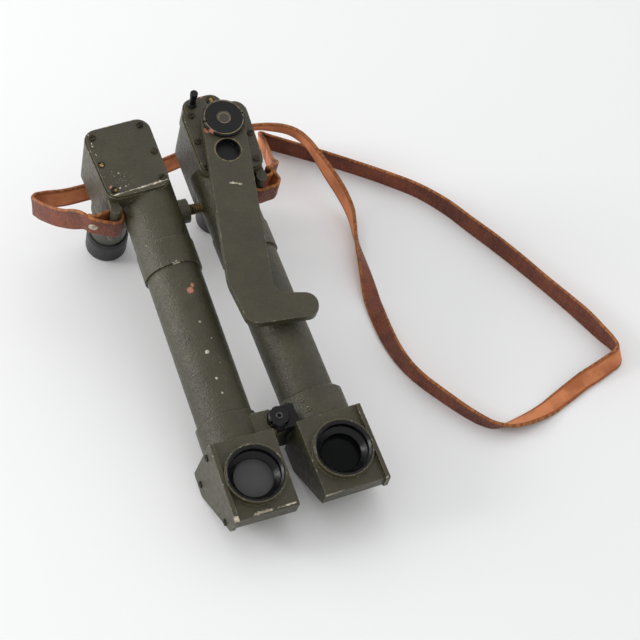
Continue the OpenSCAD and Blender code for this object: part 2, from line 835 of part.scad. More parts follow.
function grip_outline() =
    let (w = grip_half, bottom = -grip_len, top = -grip_len + hook_height)
    concat(
        [for (a = [0:7.5:180]) [w * cos(a), w * sin(a)]],
        rounded_open([
            [-w, 0, 0], [-w, bottom + 26, 30], [-5.4, bottom + 1, 5], [1, bottom - 1.6, 6],
            [hook_reach - 3, bottom + 1.2, 6], [hook_reach - 0.6, top - 1, 7.4], [24, top, 12],
            [w, top, 8], [w, 0, 0]
        ])
    );

// The rounded corners between the first and the last point of an open outline.
function rounded_open(points) =
    [for (i = [1:len(points) - 2]) each corner(points[i - 1], points[i], points[i + 1], 8)];

module hand_grip() {
    color([0.29, 0.28, 0.22])
        at_grip()
            difference() {
                translate([0, 0, grip_z]) linear_extrude(height = grip_t) polygon(grip_outline());
                translate([0, 0, grip_z - 1]) cylinder(h = grip_t + 2, r = pin_r + run_fit);
                translate([0, -cup_v, grip_z - 1]) cylinder(h = grip_t + 2, r = cup_r + 1);
            }
}

module grip_cup() {
    color([0.09, 0.10, 0.11])
        at_grip()
            translate([0, -cup_v, grip_z])
                difference() {
                    cylinder(h = grip_t, r = cup_r + 1);
                    translate([0, 0, grip_t - cup_depth]) cylinder(h = cup_depth + 1, r = cup_r);
                }
}

module grip_washer() {
    color([0.35, 0.34, 0.30])
        at_arm(1)
            translate([grip_x, grip_y, cover_z])
                difference() {
                    cylinder(h = washer_t - run_fit, r = pin_r + 4.4);
                    translate([0, 0, -1]) cylinder(h = washer_t + 2, r = pin_r);
                }
}

module pivot_pin() {
    color([0.42, 0.41, 0.36])
        at_arm(1)
            translate([grip_x, grip_y, 0]) {
                translate([0, 0, cover_z]) cylinder(h = washer_t + grip_t + disc_t, r = pin_r);
                translate([0, 0, rim_z - 8.5]) cylinder(h = cover_t + 8.5 + eps, r = 3);
            }
}

module pivot_disc() {
    notch_w = 1.3;
    color([0.05, 0.05, 0.06])
        at_arm(1)
            translate([grip_x, grip_y, grip_z + grip_t + run_fit])
                difference() {
                    rotate_extrude()
                        polygon([
                            [pin_r, 0], [grip_half - 0.6, 0], [grip_half, 0.6], [grip_half, disc_t - 0.7],
                            [grip_half - 0.7, disc_t - run_fit], [pin_r, disc_t - run_fit]
                        ]);
                    for (a = [0, 180])
                        rotate([0, 0, a])
                            translate([grip_half - 2, -notch_w / 2, disc_t - 1.6]) cube([4, notch_w, 4]);
                }
}

// Peg on the right cover against which the grip comes to rest.
module grip_stop() {
    peg_top = 30;
    color([0.10, 0.10, 0.09])
        at_arm(1)
            translate([stop_place[0], stop_place[1], 0]) {
                translate([0, 0, rim_z - 4.8]) cylinder(h = cover_t + 4.8 + eps, r = 1.5, $fn = 32);
                rotate_extrude()
                    polygon([
                        [0, cover_z], [2.9, cover_z], [2.9, cover_z + 1.2], [2, cover_z + 2], [2, peg_top - 3.4],
                        [2.35, peg_top - 3], [2.35, peg_top - 0.4], [1.9, peg_top], [0, peg_top]
                    ]);
            }
}

// Leather strap: one ribbon from lug to lug, standing mostly on its edge on the table.
// The loop round each post comes from a formula in the frame of that arm.

loop_r = post_r + move_gap + strap_t / 2;
layer = strap_t + 0.1;
loop_steps = 8;
rivet_at = [34.2, post_y + 2];
rivet_turn = 25;
rivet_side = [-sin(rivet_turn), cos(rivet_turn)];

// Middle of the strap round one post: tail, far side of the post, round it and out again.
function loop_path(side) =
    let (
        far = rivet_at + rivet_side * layer / 2,
        near = rivet_at - rivet_side * layer / 2,
        tail = far + [3.4, 2.1]
    ) concat(
        [
            on_table(side, [tail[0], tail[1], strap_z]),
            on_table(side, [far[0], far[1], strap_z]),
            on_table(side, [28.6, post_y + 3.5, strap_z])
        ],
        [for (i = [0:loop_steps])
            let (a = 76 + 222 * i / loop_steps)
            on_table(side, [post_x + loop_r * cos(a), post_y + loop_r * sin(a), strap_z])],
        [
            on_table(side, [29.4, post_y - 1.9, strap_z]),
            on_table(side, [near[0], near[1], strap_z])
        ]
    );

// Free run of the strap on and over the table: place of its lower edge, height of that edge,
// and how far the upper edge leans over, for each millimetre of height.
free_run = [
    [-62.5, 184, 57.6, 0, -0.3], [-68, 193.5, 51.4, 0, -0.15], [-73, 203.5, 46, 0, 0],
    [-77, 215, 40.5, 0, 0], [-79.3, 225, 36, 0, 0], [-79.7, 230, 34.2, 0, 0], [-77.5, 233.8, 33, 0, 0],
    [-72.5, 235.2, 32, 0, 0], [-60.6, 235, 30.5, 0, 0], [-43, 237.5, 28.5, 0, 0], [-20, 243.5, 25.5, 0, 0],
    [3, 250, 22.6, 0, 0], [26, 257.5, 20.4, 0, 0], [46, 264.8, 19.2, -0.05, -0.1],
    [66, 271.8, 18.6, -0.12, -0.25], [78, 276.8, 18.6, -0.22, -0.45], [88.4, 279.6, 18.6, -0.35, -0.6],
    [98, 275, 18.2, -0.25, -0.47], [107, 266.5, 17.2, -0.2, -0.35], [115, 254.5, 13.2, -0.1, -0.1],
    [118.1, 235.9, 8, 0, 0], [121.2, 213.3, 3.2, 0, 0], [121.4, 194.9, 1, -0.05, 0],
    [120, 183, 0, -0.3, 0.05], [118.3, 172.1, 0, -0.7, 0.07], [116, 155, 0, -1.05, 0.15],
    [113.4, 135.5, 0, -1.42, 0.2], [109.6, 111, 0, -1.72, 0.2], [107.5, 90.3, 0, -2.05, 0],
    [109.3, 65.3, 0, -2.7, -0.4], [113.2, 51.1, 0, -3, -1.2], [120.1, 32.8, 0, -2.25, -1],
    [127.3, 15.5, 0, -1.65, -0.9], [132.6, 8, 0, -1.1, -0.9], [137.5, 3.6, 0, -0.6, -0.8],
    [144, 0, 0, -0.1, -0.7], [151, -0.9, 0, 0, -0.6], [158.6, -0.5, 0, 0.05, -0.5],
    [170.6, 2.2, 0, 0.1, -0.35], [189.8, 9.6, 0, 0.1, -0.23], [206.5, 14.8, 0, 0.04, -0.13],
    [219, 18, 0, 0, 0], [224.5, 19.6, 0, 0, 0], [227.2, 22.5, 0, 0, 0], [227.6, 26.5, 0, 0, 0],
    [226.2, 34.5, 0, 0, 0], [222.2, 57.2, 0, 0, 0], [215.9, 79.5, 0, 0, 0], [207.6, 106.7, 0, 0, 0],
    [199.9, 130.5, 0, 0, 0], [190.2, 157.5, 0, 0, 0], [177.5, 189.4, 0, 0, 0], [161.5, 215.6, 0, 0, 0],
    [145.8, 233.5, 0, 0, 0], [129, 250.3, 0, 0, 0], [109, 269.3, 0, 0, 0], [97.5, 279, 0, 0, 0],
    [93.2, 282.4, 0, 0, 0], [90.7, 283.6, 0, 0, 0], [89.2, 282.2, 0, 0, 0], [88.9, 279.4, 0, 0, 0],
    [88, 273, 1.5, 0, 0], [84.7, 262, 7.5, 0, 0], [79, 243, 17.5, 0, 0], [71.5, 221, 33.5, 0, 0],
    [64.5, 201, 48, 0, -0.1], [59.8, 187.5, 55.6, 0, -0.25]
];

// A point of the free run as the middle of the strap; the lowest corner stays on the table.
function run_point(p) =
    let (up = unit([p[3], p[4], 1]), low = strap_t / 2 * sqrt(max(0, 1 - up[2] * up[2])))
    [p[0], p[1] - table_shift, p[2] + low] + up * strap_w / 2;

table_shift = origin_y;
lug_up = [0, -sin(tilt), cos(tilt)];
left_loop = loop_path(-1);
right_loop = loop_path(1);
loop_count = len(left_loop);

strap_path = concat(
    left_loop,
    [for (p = free_run) run_point(p)],
    [for (i = [loop_count - 1:-1:0]) right_loop[i]]
);
strap_up = concat(
    [for (i = [1:loop_count]) lug_up],
    [for (p = free_run) unit([p[3], p[4], 1])],
    [for (i = [1:loop_count]) lug_up]
);

// Direction of the strap at ring i, and the ring's eight corners.
function strap_dir(i) =
    let (n = len(strap_path) - 1)
    unit(unit(strap_path[min(n, i + 1)] - strap_path[i] + (i == n ? strap_path[n] - strap_path[n - 1] : [0, 0, 0]))
        + unit(strap_path[i] - strap_path[max(0, i - 1)] + (i == 0 ? strap_path[1] - strap_path[0] : [0, 0, 0])));

function strap_ring(i) =
    let (
        dir = strap_dir(i),
        side = unit(cross(dir, strap_up[i])),
        up = cross(side, dir),
        w = strap_w / 2,
        t = strap_t / 2,
        b = strap_t / 5
    ) [for (q = [[w - b, t], [w, t - b], [w, b - t], [w - b, -t], [b - w, -t], [-w, b - t], [-w, t - b], [b - w, t]])
        strap_path[i] + up * q[0] + side * q[1]];

module strap() {
    rings = len(strap_path);
    sides = 8;
    color([0.42, 0.20, 0.12])
        polyhedron(
            points = [for (i = [0:rings - 1]) each strap_ring(i)],
            faces = concat(
                [[for (k = [0:sides - 1]) k]],
                [for (i = [0:rings - 2]) for (k = [0:sides - 1]) each [
                    [i * sides + k, (i + 1) * sides + k, (i + 1) * sides + (k + 1) % sides],
                    [i * sides + k, (i + 1) * sides + (k + 1) % sides, i * sides + (k + 1) % sides]
                ]],
                [[for (k = [sides - 1:-1:0]) (rings - 1) * sides + k]]
            )
        );
}

// One rivet through both layers of the strap at each lug.
module strap_rivets() {
    head_h = 0.8;
    through = 2 * layer;
    color([0.62, 0.60, 0.55])
        for (side = [-1, 1])
            at_arm(side)
                translate([rivet_at[0], rivet_at[1], strap_z])
                    rotate([0, 0, 90 + rivet_turn])
                        rotate([0, 90, 0]) {
                            translate([0, 0, -through / 2 - head_h]) cylinder(h = head_h, r = rivet_r, $fn = 32);
                            translate([0, 0, through / 2]) cylinder(h = head_h, r = rivet_r, $fn = 32);
                            cylinder(h = through + 2 * eps, r = 1.2, center = true, $fn = 32);
                        }
}

head(-1);  // left_head
side_plate(-1);  // left_side_plate
side_screws(-1);  // left_side_screws
objective_ring(-1);  // left_objective_ring
objective_lens(-1);  // left_objective_lens
head_prism(-1);  // left_head_prism
tube(-1);  // left_tube
left_collar();
sleeve(-1);  // left_sleeve
prism_housing(-1);  // left_prism_housing
eye_prism(-1);  // left_eye_prism
cover_plate(-1);  // left_cover_plate
cover_screws(-1);  // left_cover_screws
strap_lug(-1);  // left_strap_lug
eyepiece_barrel(-1);  // left_eyepiece_barrel
eye_lens(-1);  // left_eye_lens
eyecup(-1);  // left_eyecup
head(1);  // right_head
side_plate(1);  // right_side_plate
side_screws(1);  // right_side_screws
objective_ring(1);  // right_objective_ring
objective_lens(1);  // right_objective_lens
head_prism(1);  // right_head_prism
tube(1);  // right_tube
right_collar();
sleeve(1);  // right_sleeve
prism_housing(1);  // right_prism_housing
eye_prism(1);  // right_eye_prism
cover_plate(1);  // right_cover_plate
cover_screws(1);  // right_cover_screws
strap_lug(1);  // right_strap_lug
eyepiece_barrel(1);  // right_eyepiece_barrel
eye_lens(1);  // right_eye_lens
eyecup(1);  // right_eyecup
right_hinge_lug();
lug_screws();
hinge_bolt();
hinge_knob();
guide_stud();
hand_grip();
grip_cup();
grip_washer();
pivot_pin();
pivot_disc();
grip_stop();
strap();
strap_rivets();
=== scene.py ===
# %% [markdown]
# # A scissors periscope with a leather neck strap
#
# The instrument is two periscope arms on one hinge. Its metal and glass come packed as fixed
# solids, so this lesson is about what Blender adds: the camera of the photograph, the studio,
# the paint with its wear, the glass, and the strap, which is leather and gets its own mesh.

import bpy
import numpy as np
from mathutils import Matrix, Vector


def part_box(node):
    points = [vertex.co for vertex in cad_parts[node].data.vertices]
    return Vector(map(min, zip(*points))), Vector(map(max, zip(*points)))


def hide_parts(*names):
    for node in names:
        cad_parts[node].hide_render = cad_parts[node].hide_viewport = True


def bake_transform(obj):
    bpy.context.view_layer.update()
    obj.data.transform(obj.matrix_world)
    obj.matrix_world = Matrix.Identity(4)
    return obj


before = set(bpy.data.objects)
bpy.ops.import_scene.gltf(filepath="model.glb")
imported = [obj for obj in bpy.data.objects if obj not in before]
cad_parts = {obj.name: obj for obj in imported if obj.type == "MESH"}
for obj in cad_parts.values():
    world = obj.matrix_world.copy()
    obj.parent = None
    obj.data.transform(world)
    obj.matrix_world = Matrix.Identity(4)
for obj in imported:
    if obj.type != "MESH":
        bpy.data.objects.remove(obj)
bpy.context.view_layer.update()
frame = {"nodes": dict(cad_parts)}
nodes = frame["nodes"]

# %% [markdown]
# ## Camera
#
# The photograph looks down on the table from the side of the objective heads. The camera was
# fitted to the outlines of the tubes and the heads, which gave its place, the directions of its
# right, down and forward axes, and a focal length of 1624 pixels for a picture 640 pixels wide.
# Blender's camera looks along its own -Z with +Y up, so the rows are turned to match.

# %% Camera of the photograph
PICTURE = 640
FOCAL_PIXELS = 1624.3
SENSOR = 36
CAMERA_AT = (-0.24709, -0.60640, 0.72453)
RIGHT = (0.919262, -0.388068, 0.066034)
DOWN = (-0.238748, -0.683009, -0.690289)
FORWARD = (0.312981, 0.618791, -0.720514)

camera_data = bpy.data.cameras.new("photo_camera")
camera = bpy.data.objects.new("photo_camera", camera_data)
bpy.context.scene.collection.objects.link(camera)
turn = np.eye(4)
turn[:3, 0], turn[:3, 1], turn[:3, 2] = RIGHT, -np.array(DOWN), -np.array(FORWARD)
turn[:3, 3] = CAMERA_AT
camera.matrix_world = Matrix(turn.tolist())
camera_data.sensor_width = SENSOR
camera_data.lens = SENSOR * FOCAL_PIXELS / PICTURE
camera_data.clip_end = 20
bpy.context.scene.camera = camera
bpy.context.scene.view_settings.view_transform = "Standard"
print("lens", round(camera_data.lens, 1), "mm")

# %% [markdown]
# ## Where the strap runs
#
# The strap is one flat ribbon of leather from lug to lug. It stands on its edge behind the
# instrument and along the far side of its big loop, and it rolls once all the way over on the
# near side, as a strap does that was put down with a twist in it: first the flesh side shows,
# then the grain, then the flesh again. Each row of the route gives the middle of the strap, the
# height of its lowest corner, its roll about its own run in degrees (0 is upright, and a
# positive roll takes the upper edge over to the right of somebody who walks along it), and its
# width, which is less where the leather curls across as it rolls over. Millimetres and the
# table are as in the solid model. At each end the strap goes round the post of a lug, and that
# loop is written in the arm's own frame and carried to the table by the same turns as the arm.

# %% Route of the strap
STRAP_WIDTH, STRAP_THICK, LOOP_WIDTH = 13.5, 2.1, 16.0
# How the arms lie: the gap between their axes at the hinge, half the angle between them, and
# the hinge along the arm; then the tilt, the lift and the shift of the whole on the table.
ARM_GAP, HALF_ANGLE, HINGE_Y = 50.7, np.radians(0.88), 30.5
TILT, LIFT, ORIGIN_Y = np.radians(18.2335), 13.833, 102.5295
# The lug's post and the height of the strap on it, in the arm's frame; then the gaps from the
# leather to the post and to its own next layer, its tail past the rivet, and the points that it
# has round the post.
POST_X, POST_Y, POST_R, STRAP_Z = 22.4, 181.3, 3.2, -4.0
POST_GAP, LAYER_GAP, TAIL, POST_POINTS = 0.3, 0.1, 4, 9
LOOP_R = POST_R + POST_GAP + STRAP_THICK / 2
LAYER = STRAP_THICK + LAYER_GAP

# Each loop: rivet, direction of the run through it in degrees, points from the rivet to the
# post, angles round the post, points back to the rivet.
LEFT_LOOP = ((34.2, 183.3, -4), 25, [(28.6, 184.8, -4)], (76, 298), [(29.4, 179.4, -4)])
RIGHT_LOOP = ((33.7, 190, -8), 90, [(31.2, 186.6, -6), (27.5, 185.7, -4.6)], (80, 272),
              [(28, 177.2, -4), (32.4, 177.8, -4), (34.7, 180.3, -4.3), (34.9, 185.5, -5.8)])

FREE_RUN = np.array([
    [-62.5, 183.5, 58.6, -9, 15], [-68, 193.2, 52.8, -4, 14], [-73, 203.5, 47.6, 0, 13.5],
    [-77, 215, 42.2, 0, 13.5], [-79.3, 225, 37.7, 0, 13.5], [-79.7, 230, 35.9, 0, 13.5],
    [-77.5, 233.8, 34.7, 0, 13.5], [-72.5, 235.2, 33.7, 0, 13.5], [-60.6, 235, 32.2, 0, 13.5],
    [-43, 237.5, 30.2, 0, 13.5], [-20, 243.5, 27.2, 0, 13.5], [3, 250, 24.3, 0, 13.5],
    [26, 257.5, 22.1, 0, 13.5], [46, 264.8, 20.9, 4, 13.5], [66, 271.8, 20.0, 14, 13.2],
    [78, 275.6, 19.2, 28, 13], [87, 277, 18.6, 36, 13], [96, 273.4, 18.6, 31, 13],
    [105, 267.3, 18.6, 26, 13], [111, 258, 18, 16, 13], [114, 247, 16.8, 8, 13],
    [116, 236, 14.2, 2, 13], [118, 225, 11, -4, 13], [120, 214, 8, -7, 12.6],
    [121.2, 203.5, 4.7, -7, 12.4], [120.8, 192.5, 2, -6, 12.2], [118, 181, 0.6, 0, 12],
    [113.6, 163.5, 0, 24, 11.7], [110.2, 148, 0, 42, 11.3], [107.3, 135, 0, 60, 11],
    [104.6, 122, 0, 84, 10.7], [102, 108, 0, 113, 10.4], [100, 94, 0, 130, 10.5],
    [99, 81, 0, 146, 10.6], [99.2, 68, 0, 161, 11], [101, 56.5, 0, 172, 11.2],
    [104.2, 46, 0, 179, 11.5], [108.4, 35.8, 0, 183, 11.8], [112.8, 26, 0, 186, 12],
    [117.4, 16.6, 0, 189, 12], [122.6, 8, 0, 194, 12], [129, 1.3, 0, 205, 11.8],
    [136.5, -0.9, 0, 224, 11.4], [147, 0, 0, 242, 11], [157, 2, 0, 254, 11], [167, 5, 0, 266, 11],
    [177, 8.7, 0, 279, 11], [187, 12.2, 0, 292, 11], [197, 15.6, 0, 305, 11.2],
    [206.5, 18, 0, 317, 11.6], [217, 21.2, 0, 327, 12], [224.3, 23.8, 0, 334, 12.4],
    [228, 27.8, 0, 342, 12.8], [227.8, 34, 0, 350, 13], [225.6, 45, 0, 360, 13],
    [222.6, 60, 0, 367, 13], [219, 74, 0, 364, 13], [213, 95, 0, 361, 13], [207, 116, 0, 364, 13],
    [200, 138, 0, 366, 13], [192, 160, 0, 364, 13], [184, 182, 0, 362, 13], [173, 202, 0, 357, 13],
    [159, 219, 0, 354, 13], [144, 235, 0, 353, 13], [128, 251, 0, 354, 13], [112, 266, 0, 357, 13],
    [97, 280, 0, 360, 13], [93.6, 282.9, 0.2, 360, 13], [91.4, 282.2, 1, 360, 13],
    [90.9, 279.4, 2.2, 360, 13], [90.2, 272, 4.6, 360, 13], [87.5, 262, 9, 360, 13.2],
    [83.2, 248, 16.6, 360, 13.4], [76, 227, 29.3, 360, 13.5], [69, 206, 43, 357, 14],
    [63.5, 192, 54, 352, 14.5],
])


def unit(v):
    """Each row divided by its own length."""
    return v / np.linalg.norm(v, axis=-1, keepdims=True)


def on_table(side, p):
    """Points of an arm's frame on the table, in mm: shifted out from the hinge by half the gap,
    turned about the hinge by half the angle between the arms, tipped by the tilt and lifted."""
    p = np.atleast_2d(np.array(p, float))
    x, y = side * (p[:, 0] + ARM_GAP / 2), p[:, 1] - HINGE_Y
    c, s = np.cos(side * HALF_ANGLE), np.sin(side * HALF_ANGLE)
    x, y = x * c - y * s, x * s + y * c + HINGE_Y
    return np.stack([
        x,
        y * np.cos(TILT) - p[:, 2] * np.sin(TILT) - ORIGIN_Y,
        y * np.sin(TILT) + p[:, 2] * np.cos(TILT) + LIFT,
    ], axis=1)


def loop_path(side, rivet, turn_degrees, before, angles, after):
    """Middle of the strap round one lug: its tail, the rivet, round the post, and out again.
    The two layers lie half a layer to each side of the rivet's middle, square to the run."""
    run = np.array([np.cos(np.radians(turn_degrees)), np.sin(np.radians(turn_degrees)), 0])
    across = np.array([-run[1], run[0], 0]) * LAYER / 2
    a = np.radians(np.linspace(*angles, POST_POINTS))
    round_post = np.column_stack([
        POST_X + LOOP_R * np.cos(a), POST_Y + LOOP_R * np.sin(a), np.full(POST_POINTS, STRAP_Z)])
    far, near = rivet + across, rivet - across
    return on_table(side, np.vstack([far + TAIL * run, far, before, round_post, after, near]))


arm_up = np.array([0, -np.sin(TILT), np.cos(TILT)])
flat_run = np.gradient(FREE_RUN[:, :2], axis=0)
to_right = unit(np.column_stack([flat_run[:, 1], -flat_run[:, 0], np.zeros(len(FREE_RUN))]))
roll = np.radians(FREE_RUN[:, 3:4])
free_up = np.cos(roll) * (0, 0, 1) + np.sin(roll) * to_right
half_height = np.abs(np.cos(roll[:, 0])) * FREE_RUN[:, 4] / 2 + np.abs(np.sin(roll[:, 0])) * STRAP_THICK / 2
free_middle = np.column_stack([FREE_RUN[:, 0], FREE_RUN[:, 1] - ORIGIN_Y, FREE_RUN[:, 2] + half_height])
left_loop, right_loop = loop_path(-1, *LEFT_LOOP), loop_path(1, *RIGHT_LOOP)
route = np.vstack([left_loop, free_middle, right_loop[::-1]]) / 1000
left_count, right_count = len(left_loop), len(right_loop)
route_up = np.vstack([np.tile(arm_up, (left_count, 1)), free_up, np.tile(arm_up, (right_count, 1))])
route_width = np.concatenate([
    np.full(left_count, LOOP_WIDTH), FREE_RUN[:, 4], np.full(right_count, LOOP_WIDTH)])
print("strap route", len(route), "points")

# %% [markdown]
# ## Strap mesh
#
# A curve object with a flat bevel could draw the ribbon, but it can't keep the leather's two
# sides apart or roll where the real strap rolls. So the route is made smooth with a cubic
# through its points, and a rounded section is carried along it: one grid of points, along and
# around. The direction of the upper edge and the width are made smooth in the same way. The
# grid's two parameters become the UV map, in metres along and around, which the leather reads
# to tell the dyed grain side from the raw flesh side and the cut edges.

# %% Smooth the route and carry the section along it
def smooth_rows(rows, spacing):
    """Rows made smooth by a cubic between neighbours whose slopes are those of the chords
    (a Catmull-Rom curve), sampled at even steps of about the spacing, by the first three columns."""
    steps = np.linalg.norm(np.diff(rows[:, :3], axis=0), axis=1)
    at = np.concatenate([[0], np.cumsum(steps)])
    slope = np.gradient(rows, at, axis=0)
    want = np.linspace(0, at[-1], int(at[-1] / spacing))
    i = np.clip(np.searchsorted(at, want, side="right") - 1, 0, len(rows) - 2)
    h = (at[i + 1] - at[i])[:, None]
    t = ((want - at[i]) / (at[i + 1] - at[i]))[:, None]
    return ((2 * t**3 - 3 * t**2 + 1) * rows[i] + (t**3 - 2 * t**2 + t) * h * slope[i]
            + (-2 * t**3 + 3 * t**2) * rows[i + 1] + (t**3 - t**2) * h * slope[i + 1])


def grid_faces(along, around):
    """Quads of a closed-around grid, rows of points one after another, as one array."""
    i, k = np.meshgrid(np.arange(along - 1), np.arange(around), indexing="ij")
    a, b = i * around + k, i * around + (k + 1) % around
    return np.stack([a, b, b + around, a + around], axis=-1).reshape(-1, 4)


def new_mesh(name, points, faces, caps=()):
    """A mesh object at the origin from arrays of points and quads, with any end caps."""
    mesh = bpy.data.meshes.new(name)
    mesh.from_pydata(points.tolist(), [], faces.tolist() + [list(c) for c in caps])
    mesh.update()
    mesh.polygons.foreach_set("use_smooth", np.ones(len(mesh.polygons), bool))
    thing = bpy.data.objects.new(name, mesh)
    bpy.context.scene.collection.objects.link(thing)
    return thing


# In metres, the step along the strap, the rounding of its edges and its gap over the table;
# then the points on each corner and on each flat side of the section.
STRAP_STEP, EDGE_R, FLOOR_GAP = 0.0012, 0.0007, 0.00005
CORNER_POINTS, FLAT_POINTS = 4, 9
rows = smooth_rows(np.hstack([route, route_up, route_width[:, None] / 1000]), STRAP_STEP)
middle, lean, half_w = rows[:, :3], rows[:, 3:6], rows[:, 6] / 2
ahead = unit(np.gradient(middle, axis=0))
face_out = unit(np.cross(ahead, lean))
edge_up = np.cross(face_out, ahead)
distance = np.concatenate([[0], np.cumsum(np.linalg.norm(np.diff(middle, axis=0), axis=1))])

# The section goes once round from the upper edge. Each point has its share of the flat half
# width, its rounding past that, and its height over the middle of the leather.
half_t = STRAP_THICK / 2000
corner = np.radians(np.linspace(0, 90, CORNER_POINTS))
quarter = np.column_stack([
    np.ones(CORNER_POINTS), EDGE_R * np.cos(corner), half_t - EDGE_R + EDGE_R * np.sin(corner)])
flats = np.linspace(1, -1, FLAT_POINTS + 2)[1:-1]
front = np.column_stack([flats, np.zeros(FLAT_POINTS), np.full(FLAT_POINTS, half_t)])
section = np.vstack([
    quarter, front, (quarter * (-1, -1, 1))[::-1],
    -quarter, -front, (quarter * (1, 1, -1))[::-1],
])
around = len(section)
outward = (half_w[:, None] - EDGE_R) * section[:, 0] + section[:, 1]
ribbon = middle[:, None] + edge_up[:, None] * outward[:, :, None] + face_out[:, None] * section[None, :, 2:]
ribbon = ribbon.reshape(-1, 3)
ribbon[:, 2] = np.maximum(ribbon[:, 2], FLOOR_GAP)
first_ring = list(range(around))
last_ring = list(range((len(middle) - 1) * around, len(middle) * around))
strap = new_mesh("neck_strap", ribbon, grid_faces(len(middle), around), [first_ring[::-1], last_ring])
print("strap mesh", len(ribbon), "points,", round(float(distance[-1]), 3), "m long")

# %% UV map of the strap, in metres along and around
flat_section = np.column_stack([section[:, 0] * (STRAP_WIDTH / 2000 - EDGE_R) + section[:, 1], section[:, 2]])
sides = np.linalg.norm(np.diff(np.vstack([flat_section, flat_section[:1]]), axis=0), axis=1)
around_at = np.concatenate([[0], np.cumsum(sides)])
uv_point = np.stack([np.repeat(distance, around), np.tile(around_at[:-1], len(middle))], axis=1)
loops = np.empty(len(strap.data.loops), np.int32)
strap.data.loops.foreach_get("vertex_index", loops)
uv = uv_point[loops]
quads = (len(middle) - 1) * around
# The last quad of each ring closes the section, so its far corners read the whole way round.
wrap = uv[: quads * 4].reshape(quads, 4, 2)
closing = np.arange(quads) % around == around - 1
wrap[closing, 1:3, 1] = around_at[-1]
layer_uv = strap.data.uv_layers.new(name="strap_uv")
layer_uv.data.foreach_set("uv", uv.astype(np.float32).ravel())
# One flat of the section is the flesh side and the other is the grain side, with corners between.
flesh_from, flesh_to = around_at[CORNER_POINTS - 1], around_at[CORNER_POINTS + FLAT_POINTS]
grain_from = around_at[3 * CORNER_POINTS + FLAT_POINTS - 1]
grain_to = around_at[3 * CORNER_POINTS + 2 * FLAT_POINTS]
print("flesh side", np.round((flesh_from, flesh_to), 4), "grain side", np.round((grain_from, grain_to), 4))

# %% [markdown]
# ## Rivets of the strap
#
# One rivet holds the two layers of each loop: a turned pin with a low domed head on both sides.
# The profile is spun round its axis, and the two rivets are one mesh.

# %% Spin the rivets
def spun(profile, centre, axis, steps=32):
    """Points and faces of a profile (radius, height) spun round an axis through a centre; the
    profile starts and ends on the axis, where its ring is one point and the faces are triangles."""
    axis = unit(np.array(axis, float))
    u = unit(np.cross(axis, (0.3, 0.2, 1.0)))
    v = np.cross(u, axis)
    a = np.arange(steps) * 2 * np.pi / steps
    rings = np.array(profile[1:-1])
    spoke = np.cos(a)[:, None] * u + np.sin(a)[:, None] * v
    body = centre + rings[:, None, :1] * spoke + rings[:, None, 1:] * axis
    points = np.vstack([body.reshape(-1, 3), centre + profile[0][1] * axis, centre + profile[-1][1] * axis])
    top, bottom, last = len(points) - 2, len(points) - 1, (len(rings) - 1) * steps
    following = np.roll(np.arange(steps), -1)
    fans = [[top, int(j), int(i)] for i, j in enumerate(following)]
    fans += [[bottom, last + int(i), last + int(j)] for i, j in enumerate(following)]
    return points, grid_faces(len(rings), steps), fans


RIVET_R, HEAD_H, SHANK_R = 3.0, 0.8, 1.2
head = [(RIVET_R * np.sin(a), LAYER + HEAD_H * np.cos(a)) for a in np.radians([0, 20, 40, 60, 80, 90])]
rivet_profile = head + [(SHANK_R, LAYER), (SHANK_R, -LAYER)] + [(r, -h) for r, h in head[::-1]]
rivet_profile = [(float(r) / 1000, float(h) / 1000) for r, h in rivet_profile]
parts = []
for side, (place, turn_degrees, *_) in ((-1, LEFT_LOOP), (1, RIGHT_LOOP)):
    square = np.array([-np.sin(np.radians(turn_degrees)), np.cos(np.radians(turn_degrees)), 0])
    ends = on_table(side, [np.array(place) - square, np.array(place) + square]) / 1000
    parts.append(spun(rivet_profile, ends.mean(axis=0), ends[1] - ends[0]))
count = len(parts[0][0])
rivets = new_mesh("strap_rivet_pair", np.vstack([parts[0][0], parts[1][0]]),
                  np.vstack([parts[0][1], parts[1][1] + count]),
                  parts[0][2] + [[i + count for i in fan] for fan in parts[1][2]])
print("rivets", len(rivets.data.vertices), "points")

# %% [markdown]
# ## Shader values as numbers
#
# Materials are easier to read as formulas than as boxes and wires. This class wraps one node
# socket, and each operator adds the Math node that does it, so 1 - mask is a node too. One
# method makes every other kind of node.

# %% A socket that can be added, multiplied and compared
class Value:
    """A number that varies over a surface: a socket of a node tree, with arithmetic."""

    def __init__(self, nodes, socket):
        self.nodes, self.socket = nodes, socket

    def math(self, operation, *others):
        return self.nodes.node("Math", {"operation": operation}, dict(enumerate((self, *others))))

    def __add__(self, other): return self.math("ADD", other)
    def __radd__(self, other): return self.math("ADD", other)
    def __sub__(self, other): return self.math("SUBTRACT", other)
    def __rsub__(self, other): return self.nodes.node("Math", {"operation": "SUBTRACT"}, {0: other, 1: self})
    def __mul__(self, other): return self.math("MULTIPLY", other)
    def __pow__(self, other): return self.math("POWER", other)
    def __abs__(self): return self.math("ABSOLUTE")

    def larger(self, other): return self.math("MAXIMUM", other)
    def smaller(self, other): return self.math("MINIMUM", other)

    def ramp(self, low, high, to_low=0.0, to_high=1.0):
        """Smooth step: to_low below low, to_high above high, an S between."""
        return self.nodes.node("MapRange", {"interpolation_type": "SMOOTHSTEP"},
                                {0: self, 1: low, 2: high, 3: to_low, 4: to_high})


